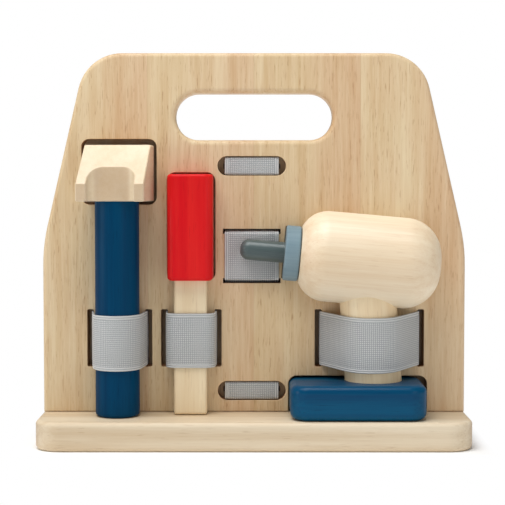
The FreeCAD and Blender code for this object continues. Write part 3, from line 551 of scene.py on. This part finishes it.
def webbing():
    """Ribs across and along, in two greys, with a corded selvage and a little fuzz."""
    paint = Paint("woven elastic", sheen_weight=0.25)
    place = paint.node("ShaderNodeUVMap", {"uv_map": "weave"})
    along, across = paint.split(place, "X"), paint.split(place, "Y")
    from_middle = across.size()
    low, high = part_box("hammer_strap")
    half_width = (high.z - low.z) / 2
    wander = paint.noise(place, 260, 2) * 0.35
    warp = (along / RIB_PITCH + wander).wave()
    weft = (across / RIB_PITCH + wander).wave()
    threads = warp.worked("MINIMUM", warp, weft)
    twill = ((along + across) / (RIB_PITCH * 0.5)).wave()
    selvage = (from_middle - (half_width - SELVAGE)).between(-0.1 * MM, 0.1 * MM)
    rib = ((from_middle - half_width) / (SELVAGE / 2)).wave()
    height = threads * (1 - selvage) + rib * selvage + twill * 0.15
    yarn = paint.mixed(height.between(0.02, 0.55), srgb(134, 138, 142), srgb(204, 205, 203))
    patches = paint.noise(place, 55, 3).between(0.3, 0.7)
    colour = paint.mixed(patches * 0.25, yarn, srgb(176, 179, 180))
    fuzz = paint.noise(place, 5200, 2)
    colour = paint.mixed(fuzz.between(0.45, 0.75) * 0.18, colour, srgb(226, 226, 222))
    return paint.finish(
        base_color=colour,
        roughness=0.78 + 0.15 * threads,
        normal=paint.bump(height + 0.2 * fuzz, WEAVE_DEPTH, 0.8),
    )


elastic = webbing()


def elastic_line(corners, radii, steps=7):
    """The elastic's middle line: straight runs, with an arc round each inner corner."""
    points = [Vector(corners[0])]
    for before, corner, after, radius in zip(corners, corners[1:], corners[2:], radii):
        corner = Vector(corner)
        arriving = (Vector(before) - corner).normalized()
        leaving = (Vector(after) - corner).normalized()
        half_angle = arriving.angle(leaving) / 2
        middle = (arriving + leaving).normalized()
        centre = corner + middle * (radius / math.sin(half_angle))
        start = corner + arriving * (radius / math.tan(half_angle)) - centre
        sweep = math.pi - 2 * half_angle
        if start.cross(leaving) < 0:
            sweep = -sweep
        count = max(2, round(steps * abs(sweep) / (math.pi / 2)))
        for step in range(count + 1):
            turn = Matrix.Rotation(sweep * step / count, 2)
            points.append(centre + turn @ start)
    points.append(Vector(corners[-1]))
    return points


SAME_PLACE = 1e-6


def in_short_steps(points, longest):
    """The same line in short steps, so that the weave sits evenly."""
    divided = [points[0]]
    for start, end in zip(points, points[1:]):
        count = max(1, math.ceil((end - start).length / longest))
        divided += [start.lerp(end, step / count) for step in range(1, count + 1)]
    apart = [p for p, q in zip(divided, divided[1:]) if (p - q).length > SAME_PLACE]
    return apart + [divided[-1]]


def elastic_section(width, thick):
    """The elastic cut across: rounded edges, and shallow grooves along each selvage."""
    half = width / 2
    side = thick / 2
    rib = side * 0.94
    groove = side * 0.72
    face = [
        (-half, 0),
        (-half + EDGE_START, rib * 0.75),
        (-half + EDGE_ROUND, rib),
        (-half + SELVAGE / 2, groove),
        (-half + SELVAGE * 0.75, rib),
        (-half + SELVAGE, groove),
        (-half + SELVAGE * 1.3, side),
        (0, side),
    ]
    upper = face + [(-across, out) for across, out in reversed(face[:-1])]
    lower = [(across, -out) for across, out in reversed(upper[1:-1])]
    return upper + lower


def lay_elastic(path, width, thick, lift):
    """A flat band along a path. lift turns a path point and a place across into space.

    Its weave is laid out in metres: along the band, and across it from its middle.
    """
    mesh = bmesh.new()
    section = elastic_section(width, thick)
    rings = []
    travelled = 0.0
    along_band = mesh.verts.layers.float.new("along band")
    across_band = mesh.verts.layers.float.new("across band")
    for number, point in enumerate(path):
        before, after = path[max(number - 1, 0)], path[min(number + 1, len(path) - 1)]
        if number:
            travelled += (point - before).length
        heading = (after - before).normalized()
        if 0 < number < len(path) - 1:
            first, second = (point - before).normalized(), (after - point).normalized()
            heading = (first + second).normalized()
            widen = 1 / max(0.5, heading.dot(first))
        else:
            widen = 1
        side = Vector((heading.y, -heading.x))
        ring = []
        for across, out in section:
            vertex = mesh.verts.new(lift(point + side * out * widen, across))
            vertex[along_band] = travelled
            vertex[across_band] = across
            ring.append(vertex)
        for first, second in zip(ring, ring[1:] + ring[:1]):
            mesh.edges.new((first, second))
        rings.append(ring)
    for first, second in zip(rings, rings[1:]):
        edges = [mesh.edges.get((a, b)) for a, b in zip(first, first[1:] + first[:1])]
        edges += [mesh.edges.get((a, b)) for a, b in zip(second, second[1:] + second[:1])]
        bmesh.ops.bridge_loops(mesh, edges=edges)
    for ring in (rings[0], rings[-1]):
        bmesh.ops.contextual_create(mesh, geom=ring)
    bmesh.ops.recalc_face_normals(mesh, faces=mesh.faces)
    weave = mesh.loops.layers.uv.new("weave")
    for face in mesh.faces:
        for loop in face.loops:
            loop[weave].uv = (loop.vert[along_band], loop.vert[across_band])
    return mesh


def smooth_piece(name, mesh, material):
    """Make a finished bmesh a smooth-shaded object of the scene."""
    for face in mesh.faces:
        face.smooth = True
    data = bpy.data.meshes.new(name)
    mesh.to_mesh(data)
    mesh.free()
    data.materials.append(material)
    piece = bpy.data.objects.new(name, data)
    bpy.context.collection.objects.link(piece)
    return piece


SLOT_BEND = 1.0 * MM
MOUTH_BEND = 3.0 * MM
LOOP_STEP = 3 * MM
LOOPS = (
    # node, joint, half of its flat front, radius of its bends, how far its front hangs down
    ("hammer_strap", "hammer_pull", 0.0, 12.9 * MM, 0.5 * MM),
    ("screwdriver_strap", "screwdriver_pull", 8.0 * MM, 5.0 * MM, 0.2 * MM),
    ("drill_strap", "drill_pull", 1.1 * MM, 16.6 * MM, 1.9 * MM),
)


def loop_path(low, high, half_flat, bend):
    """The line down the middle of a loop's elastic, seen from above, round its tool."""
    half_layer = STRAP_THICK / 2
    middle = (low.x + high.x) / 2
    edge = (high.x - low.x) / 2 - half_layer
    front, behind = low.y + half_layer, high.y - half_layer
    radius = bend + half_layer
    forward = PANEL_FRONT - front - radius
    to_slot = math.hypot(edge - half_flat, forward)
    lean = math.acos(radius / to_slot) - math.atan2(forward, edge - half_flat)
    corner = half_flat + radius * math.tan((math.pi / 2 - lean) / 2)
    left_half = [
        (-BUTT_GAP / 2, behind), (-edge, behind), (-edge, PANEL_FRONT), (-corner, front),
    ]
    corners = left_half + [(-x, y) for x, y in reversed(left_half)]
    bends = [SLOT_BEND, MOUTH_BEND, radius]
    path = elastic_line([(middle + x, y) for x, y in corners], bends + bends[::-1])
    return in_short_steps(path, LOOP_STEP)


for node, joint, half_flat, bend, hang in LOOPS:
    low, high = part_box(node)
    middle = (low + high) / 2

    def beside_tool(point, across):
        """The front of a loop hangs a little lower than its slots."""
        forward = max(0, PANEL_FRONT - point.y) / (PANEL_FRONT - low.y)
        return Vector((point.x, point.y, middle.z + across - hang * forward))

    path = loop_path(low, high, half_flat, bend)
    mesh = lay_elastic(path, high.z - low.z, STRAP_THICK, beside_tool)
    loop = smooth_piece(f"woven_{node}", mesh, elastic)
    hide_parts(node)
    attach(loop, "board")
    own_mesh(loop)


# Centre strap --------------------------------------------------------------------------
# The same elastic in one long piece behind the upright board. Each end is looped round a
# wooden bar set in the front; between two slots the strap crosses the front once.

WINDOW_TOP = 120.9 * MM
WINDOW_BOTTOM = 93.9 * MM
BAR_BEND = 1.0 * MM
INNER_BEND = 0.02 * MM
CENTRE_STEP = 4 * MM


def anchor_corners(bar, sign, behind):
    """Once round an anchor bar: from the strap's end in the slot to its long run."""
    low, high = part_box(bar)
    clear = STRAP_GAP + STRAP_THICK / 2
    height = (low.z + high.z) / 2
    layer = (STRAP_THICK + STRAP_GAP) / 2 * sign
    side = (high.z - low.z) / 2 + clear
    front, back = low.y - clear, high.y + clear
    return [
        (behind - STRAP_THICK, height + layer),
        (back, height + layer),
        (back, height + side * sign),
        (front, height + side * sign),
        (front, height - side * sign),
        (back, height - side * sign),
        (back, height - layer),
        (behind, height - layer),
    ]


def centre_path(behind):
    """The line down the middle of the centre strap's elastic, seen from the side."""
    front = PANEL_FRONT - STRAP_GAP - STRAP_THICK / 2
    upper = anchor_corners("upper_anchor_bar", 1, behind)
    lower = anchor_corners("lower_anchor_bar", -1, behind)
    window = [
        (behind, WINDOW_TOP), (front, WINDOW_TOP), (front, WINDOW_BOTTOM), (behind, WINDOW_BOTTOM),
    ]
    tight = STRAP_THICK / 2 + INNER_BEND
    anchor_bends = [tight, tight, BAR_BEND, BAR_BEND, tight, tight, SLOT_BEND]
    bends = anchor_bends + [SLOT_BEND] * len(window) + anchor_bends[::-1]
    path = elastic_line(upper + window + lower[::-1], bends, steps=5)
    return in_short_steps(path, CENTRE_STEP)


low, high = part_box("centre_strap")
middle = (low + high) / 2


def up_the_board(point, across):
    """The centre strap's width lies across the board, and its length runs up it."""
    return Vector((middle.x + across, point.x, point.y))


path = centre_path(high.y - STRAP_THICK / 2)
mesh = lay_elastic(path, high.x - low.x, STRAP_THICK, up_the_board)
centre = smooth_piece("woven_centre_strap", mesh, elastic)
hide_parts("centre_strap")
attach(centre, "board")


# Floor, light and camera ---------------------------------------------------------------
# A plain white table top under a white sky, a large soft lamp high on the left, and three
# weaker ones: right above, low on the left, and in front on the right.

FLOOR_HALF = 6.0
WHITE_FROM = 0.5 * MM
WHITE_TO = 12 * MM


def table_top():
    """White and matt under the object, and as bright as the sky all round it."""
    paint = Paint("white table top", roughness=0.9)
    place = paint.coordinates()
    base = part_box("base_board")[1]
    beside = paint.split(place, "X").size() - base.x
    beyond = beside.worked("MAXIMUM", beside, paint.split(place, "Y").size() - base.y)
    dust = paint.noise(place, 30, 2)
    white = paint.mixed(dust, srgb(248, 248, 248), srgb(252, 252, 252))
    material = paint.finish(base_color=white)
    glow = paint.node("ShaderNodeEmission", None, {"Color": (1, 1, 1, 1), "Strength": 1.0})
    sockets = {
        0: beyond.between(WHITE_FROM, WHITE_TO),
        1: Wire(paint, paint.shader.outputs["BSDF"]),
        2: glow,
    }
    blend = paint.node("ShaderNodeMixShader", None, sockets)
    paint.feed(paint.tree.nodes["Material Output"].inputs["Surface"], blend)
    return material


mesh = bmesh.new()
bmesh.ops.create_grid(mesh, x_segments=1, y_segments=1, size=FLOOR_HALF)
floor = smooth_piece("table_top", mesh, table_top())

SKY_LIGHT = 0.22
sky = bpy.data.worlds.new("white sky")
bpy.context.scene.world = sky
sky.use_nodes = True
backdrop = sky.node_tree.nodes["Background"]
backdrop.inputs["Color"].default_value = (1, 1, 1, 1)
seen = sky.node_tree.nodes.new("ShaderNodeLightPath").outputs["Is Camera Ray"]
strength = sky.node_tree.nodes.new("ShaderNodeMapRange")
strength.inputs["To Min"].default_value = SKY_LIGHT
strength.inputs["To Max"].default_value = 1.0
sky.node_tree.links.new(seen, strength.inputs["Value"])
sky.node_tree.links.new(strength.outputs["Result"], backdrop.inputs["Strength"])

OBJECT_MIDDLE = Vector((0, 0, 0.1))
LAMPS = (
    # name, place, width in metres, power in watts
    ("key lamp", (-0.3, -0.42, 1.3), 1.1, 15),
    ("top lamp", (0, -0.1, 1.5), 0.6, 3),
    ("side lamp", (-1.0, -0.25, 0.25), 0.5, 1.8),
    ("fill lamp", (0.9, -1.2, 0.5), 0.9, 3),
)
for name, place, size, power in LAMPS:
    data = bpy.data.lights.new(name, "AREA")
    data.shape = "DISK"
    data.size = size
    data.energy = power
    light = bpy.data.objects.new(name, data)
    light.location = place
    aim = OBJECT_MIDDLE - light.location
    light.rotation_euler = aim.to_track_quat("-Z", "Y").to_euler()
    bpy.context.collection.objects.link(light)

SENSOR_WIDTH = 36.0
FOCAL_LENGTH = 98.56
NEAREST_SEEN = 0.05
CAMERA_PLACE = (0, -0.8075, 0.1473)
CAMERA_DOWN = math.radians(2.71)
CAMERA_LEFT = math.radians(0.062)
camera_data = bpy.data.cameras.new("camera")
camera_data.sensor_width = SENSOR_WIDTH
camera_data.lens = FOCAL_LENGTH
camera_data.clip_start = NEAREST_SEEN
camera = bpy.data.objects.new("camera", camera_data)
camera.location = CAMERA_PLACE
camera.rotation_euler = (math.pi / 2 - CAMERA_DOWN, 0, CAMERA_LEFT)
bpy.context.collection.objects.link(camera)
bpy.context.scene.camera = camera
bpy.context.scene.view_settings.view_transform = "Standard"
